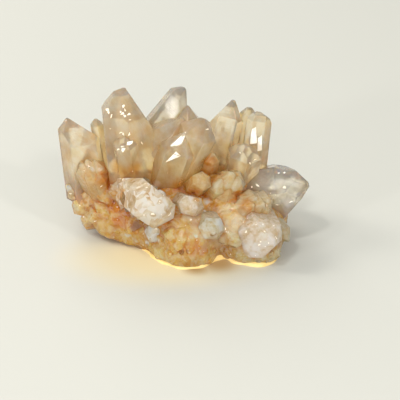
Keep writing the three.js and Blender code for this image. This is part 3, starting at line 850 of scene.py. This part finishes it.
def sheets_mesh(name, stacks):
    """One mesh from lenses of points (lens, skin, ring, spoke, 3): the two skins share their rim, and each is
    closed by a fan to its middle."""
    count = len(stacks)
    rows = np.concatenate([stacks[:, 0, 1:], stacks[:, 1, 1:-1][:, ::-1]], 1)
    loops = rows.shape[1]
    middle = stacks[:, :, 0, 0]
    base = np.arange(count)[:, None, None] * (loops * SPOKES + 2)
    at = base + np.arange(loops * SPOKES).reshape(1, loops, SPOKES)
    ahead = np.roll(at, -1, 2)
    quads = np.stack([at[:, :-1], at[:, 1:], ahead[:, 1:], ahead[:, :-1]], -1).reshape(-1, 4)
    first = np.repeat(base[:, 0] + loops * SPOKES, SPOKES, 1)
    top = np.stack([first, at[:, 0], ahead[:, 0]], -1).reshape(-1, 3)
    bottom = np.stack([first + 1, ahead[:, -1], at[:, -1]], -1).reshape(-1, 3)
    points = np.concatenate([rows.reshape(count, -1, 3), middle], 1).reshape(-1, 3) - MIDDLE
    mesh = mesh_of(name, points * MM, [*quads.tolist(), *top.tolist(), *bottom.tolist()])
    mesh.polygons.foreach_set("use_smooth", np.ones(len(mesh.polygons), bool))
    return mesh


veil = added("healed_veils", sheets_mesh("healed_veils", veils(LARGE[:VEILED], VEILS, 5)))
print("veils:", len(veil.data.polygons), "faces")

# %% [markdown]
# ## The ledge at the foot
# Along the front the saw left a thin lip of yellow quartz at the foot, bright against the floor. It could
# be a curve with a bevel, but its height and its reach change along the way, so it is a strip with four
# corners, carried along the foot's outline.

# %% The ledge
LEDGE_HIGH, LEDGE_OUT, LEDGE_IN = 0.7, 0.9, 1.5    # millimetres
LEDGE_FROM, LEDGE_TO, LEDGE_STEPS = 14.6, 23.2, 120  # counted in corners of the foot's outline
SWELLS = ((2.2, 19.6, 0.7), (1.2, 22.0, 0.6))      # how much higher it is, at which corner, over what length


def ledge_mesh():
    """A strip along the foot. Its reach is a constant times two slow sines and a ramp at each end, and its
    height a constant plus a bell curve, exp(-x^2), round each swell."""
    corner_at = np.linspace(LEDGE_FROM, LEDGE_TO, LEDGE_STEPS)
    along = corner_at / len(BASE_LINE)
    foot = round_trip(BASE_LINE[:, 3:], along)
    ahead = np.gradient(foot, axis=0)
    out = np.stack([ahead[:, 1], -ahead[:, 0]], 1) / np.linalg.norm(ahead, axis=1, keepdims=True)
    uneven = 0.7 + 0.3 * np.sin(along * 160) + 0.3 * np.sin(along * 61)
    ends = np.minimum(1, 12 * np.minimum(along - along[0], along[-1] - along))
    reach = (LEDGE_OUT * uneven * ends)[:, None]
    high = LEDGE_HIGH * (1 + sum(more * np.exp(-((corner_at - at) / wide) ** 2) for more, at, wide in SWELLS))
    ring = [np.column_stack([foot - out * LEDGE_IN, 0 * high]),
            np.column_stack([foot + out * (1.1 * reach + 0.2), 0 * high]),
            np.column_stack([foot + out * reach, high]),
            np.column_stack([foot - out * LEDGE_IN, high + 0.5])]
    points = (np.stack(ring, 1) - MIDDLE).reshape(-1, 3)
    at = np.arange(len(points)).reshape(-1, 4)
    beside = np.roll(at, -1, 1)
    sides = np.stack([at[:-1], at[1:], beside[1:], beside[:-1]], -1).reshape(-1, 4)
    return mesh_of("ledge", points * MM, [*sides.tolist(), at[0].tolist(), at[-1, ::-1].tolist()])


ledge = added("quartz_ledge", ledge_mesh())
print("ledge:", len(ledge.data.polygons), "faces")

# %% [markdown]
# ## Flakes at the surface, painted glints
# Small flat breaks on the faces catch the light as bright glints, and these are painted glints: thin plates
# in the surface, painted near white, where the glints show. Four are large: two on a crystal in the middle and
# two on one at the right. A bright spot in the material would glow from every side, so each is a thin plate:
# its near-white paint shows where light falls on it, and its low roughness mirrors a lamp from one direction.

# %% Flakes
PROUD, DEEP = 0.06, 0.35  # how far a plate stands over the surface, and how far it reaches into it
STEEPEST = 1.3            # a plate deeper than this times its width would bridge two crystals
GLINTS = 70

PLATES = (((-11.6, 21.1), (-6.4, 26.7), (-5.2, 27.5), (-7.2, 22.3), (-9.2, 21.5)),
          ((-13.5, 15.5), (-9.6, 19.5), (-7.6, 17.5), (-11.2, 16.3)),
          ((19.9, 22.3), (20.7, 28.3), (22.3, 29.1), (22.7, 22.7)),
          ((22.9, 19.5), (23.1, 24.7), (24.7, 25.9), (24.7, 19.9)))
SPECKS = [  # millimetres right and up of the view's centre, and size
    (-35.4, 40.6, 0.75), (-33.9, 42.7, 0.45), (-36.9, 36.0, 0.75), (-36.5, 34.9, 0.6), (-35.4, 33.5, 0.5),
    (-30.5, 37.5, 0.6), (-29.9, 36.0, 0.5), (-31.7, 35.1, 0.5), (-31.1, 34.2, 0.9), (-30.2, 33.3, 0.6),
    (-28.4, 34.2, 0.5), (-28.0, 32.0, 0.5), (-31.7, 26.5, 0.7), (-30.2, 26.2, 0.7), (-28.4, 26.5, 0.6),
    (-28.0, 22.8, 0.9), (-30.8, 21.3, 0.5), (-30.5, 20.1, 0.9), (-32.9, 19.2, 0.7), (-23.1, 22.8, 0.4),
    (-35.7, 28.4, 0.3), (-32.7, 20.1, 0.5), (2.8, 28.3, 0.4), (-46.2, 11.6, 0.35), (15.9, 19.5, 0.5),
    (21.9, 15.9, 0.4), (19.9, 14.7, 0.4), (22.2, 3.7, 0.6), (26.1, -2.7, 0.6), (36.4, -0.9, 0.6),
    (33.6, 5.1, 0.7), (31.4, 10.8, 0.4), (33.5, 11.0, 0.4), (25.1, 3.3, 0.5), (22.9, 5.8, 0.5),
    (30.7, -2.0, 0.4), (20.7, 5.2, 0.4), (-53.4, 5.2, 0.8), (-54.2, 7.2, 0.5), (-51.8, 2.8, 0.6),
    (-21.1, 4.8, 0.5), (-25.1, 7.6, 0.5), (-18.7, -5.6, 0.6), (-12.4, -5.6, 0.6), (25.9, -12.4, 0.5),
    (29.9, -15.1, 0.5), (23.5, -17.9, 0.4), (18.3, -12.7, 0.5), (24.7, -9.6, 0.4)]


def speck(right, up, size, seed):
    """A small uneven outline round a spot, longer one way than the other."""
    rng = np.random.default_rng(seed)
    turn = np.sort(rng.uniform(0, 2 * np.pi, 5))
    lean, long = rng.uniform(0, np.pi), rng.uniform(1.2, 2.2)
    x, y = size * long * np.cos(turn) * rng.uniform(0.6, 1, 5), size * np.sin(turn) * rng.uniform(0.6, 1, 5)
    return np.stack([right + x * np.cos(lean) - y * np.sin(lean), up + x * np.sin(lean) + y * np.cos(lean)], 1)


def plate(outline):
    """The upper and the lower corners of a flat plate in the surface. The outline's corners are dropped on the
    surface, moved into one plane, and raised until nothing between them stands out. None is made where the
    outline misses the cluster or would bridge two crystals."""
    hits = [hit for hit in (on_surface(x, y) for x, y in outline) if hit]
    if len(hits) < 3:
        return np.empty((0, 3))
    spots, normals = (np.array(rows) for rows in zip(*hits))
    if np.ptp(spots @ AHEAD) > STEEPEST * np.ptp(outline, axis=0).max():
        return np.empty((0, 3))
    normal = normals.mean(0) / np.linalg.norm(normals.mean(0))
    middle = spots.mean(0)
    between = [on_surface(*np.add(one, other) / 2) for one, other in combinations(outline, 2)]
    rise = np.clip(max([0.0] + [(hit[0] - middle) @ normal for hit in between if hit]), 0.0, 1.0)
    flat = spots - np.outer((spots - middle) @ normal, normal)
    return np.concatenate([flat + normal * (rise + PROUD), spots - normal * DEEP])


def hulls(name, bodies):
    """One mesh with a closed hull round each body's points."""
    mesh = mesh_of(name, np.concatenate(bodies) * MM)
    bm = bmesh.new()
    bm.from_mesh(mesh)
    verts, ends = bm.verts[:], np.cumsum([len(body) for body in bodies])
    for body, end in zip(bodies, ends):
        made = bmesh.ops.convex_hull(bm, input=verts[end - len(body):end])
        inner = [part for part in made["geom_interior"] if isinstance(part, bmesh.types.BMVert)]
        bmesh.ops.delete(bm, geom=inner, context="VERTS")
    bmesh.ops.recalc_face_normals(bm, faces=bm.faces[:])
    bm.to_mesh(mesh)
    bm.free()
    return mesh


rng = np.random.default_rng(8)
glints = np.column_stack([rng.uniform((-56, -24), (34, 12), (GLINTS, 2)), rng.uniform(0.12, 0.32, GLINTS)])
outlines = list(PLATES) + [speck(*row, seed) for seed, row in enumerate(SPECKS + glints.tolist())]
plates = [body for body in map(plate, outlines) if len(body)]
flake = added("flake", hulls("flakes", plates))
print(len(plates), "flakes:", len(flake.data.polygons), "faces")

# %% Their finishes; every piece is carried by the root, and the imported crystals and base are hidden
BRIGHT = ((0.96, 0.86, 0.70), (1.0, 0.97, 0.90))

# The flakes are painted near white: painted glints.
for body, (deep, pale), least, most in (
        (veil, BRIGHT, 0.0, 0.95), (flake, ((0.96, 0.86, 0.70), (1.0, 0.97, 0.92)), 0.7, 1.0),
        (ledge, ((0.84, 0.58, 0.20), (0.96, 0.76, 0.36)), 1.0, 1.0)):
    tree, spot = start(body.name)
    fine = place(tree, "ShaderNodeGroup", Place=spot, node_tree=clouds).outputs["Fine"]
    surface = place(tree, "ShaderNodeBsdfPrincipled", Base_Color=ramp(tree, fine, (0.3, deep), (0.7, pale)),
                    Roughness=0.15, Alpha=ranged(tree, fine, 0.40, 0.56, least, most))
    place(tree, "ShaderNodeOutputMaterial", surface.outputs["BSDF"])
    body.data.materials.append(bpy.data.materials[body.name])
    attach(body, "root")

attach(crystals, "root")
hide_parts("crystals")
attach(matrix, "root")
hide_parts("matrix")
print("pieces:", [body.name for body in (crystals, matrix, veil, flake, ledge)])

# %% [markdown]
# ## Floor and light
# The floor is plain and pale. Glass would bend light into a warm pool in front of the cluster, but few
# traced rays find their way there, so the floor's paint has that pool, and brown painted shadow under the
# front of the cluster. Three large soft lights, from the left, the back and the front, fill the stone and let
# the shade fall to the right. The faces don't mirror them: three small lamps make the glints, beside the
# painted glints of the flakes.

# %% Floor
POOL, POOL_REACH = (0, -20, 0), 32          # millimetres
# SHADE is painted shadow: brown patches on the floor under the front of the cluster.
SHADE = [((14, -24, 0), 11), ((5, -28, 0), 8)]

floor_mesh = mesh_of("floor", np.array([(-3, -3, 0), (3, -3, 0), (3, 3, 0), (-3, 3, 0)]), [(0, 1, 2, 3)])
floor = added("floor", floor_mesh)
tree, spot = start("floor paint")
stretched = place(tree, "ShaderNodeMapping", spot, Rotation=(0, 0, np.radians(12)), Scale=(0.62, 1.0, 1.0))
pool = spots_mask(tree, stretched.outputs["Vector"], [(POOL, POOL_REACH)], 0.2)
lit = tinted(tree, (0.50, 0.495, 0.45), pool, (0.66, 0.57, 0.36))
lit = tinted(tree, lit, spots_mask(tree, spot, SHADE, 0.1), (0.40, 0.26, 0.11))
paint = place(tree, "ShaderNodeBsdfPrincipled", Base_Color=lit, Roughness=0.6)
place(tree, "ShaderNodeOutputMaterial", paint.outputs["BSDF"])
floor_mesh.materials.append(bpy.data.materials["floor paint"])
floor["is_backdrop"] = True


# %% Light
def soft_light(name, where, side, watts, colour=PLAIN, mirrored=False):
    """A square area light of one side length in metres, aimed at the cluster."""
    lamp = bpy.data.lights.new(name, "AREA")
    lamp.size, lamp.energy, lamp.color = side, watts, colour
    light = added(name, lamp)
    light.location = where
    light.visible_glossy = mirrored
    light.rotation_euler = (Vector((0, 0, 0.02)) - Vector(where)).to_track_quat("-Z", "Y").to_euler()


soft_light("key", (-0.8, 0.2, 0.7), 0.3, 4.5, (1.0, 0.97, 0.92))
soft_light("back", (-0.4, 1.1, 0.9), 0.8, 11.0, (1.0, 0.98, 0.94))
soft_light("front", (0.2, -1.3, 0.5), 1.0, 9.0, (1.0, 0.98, 0.95))
soft_light("spark", (-0.35, -0.45, 0.95), 0.12, 3.0, mirrored=True)
soft_light("second spark", (-0.6, -0.7, 0.35), 0.07, 2.0, mirrored=True)
soft_light("third spark", (0.55, -0.6, 0.6), 0.07, 2.0, mirrored=True)
world = bpy.data.worlds.new("room")
bpy.context.scene.world = world
world.use_nodes = True
world.node_tree.nodes["Background"].inputs["Color"].default_value = (0.86, 0.88, 0.86, 1)
world.node_tree.nodes["Background"].inputs["Strength"].default_value = 0.7
bpy.context.scene.view_settings.view_transform = "Standard"
print("lights:", len(bpy.data.lights))

# %% The size of the visual pieces
own_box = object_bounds()
print("visual box, mm:", [round(side / MM, 1) for side in np.subtract(own_box[1], own_box[0])])
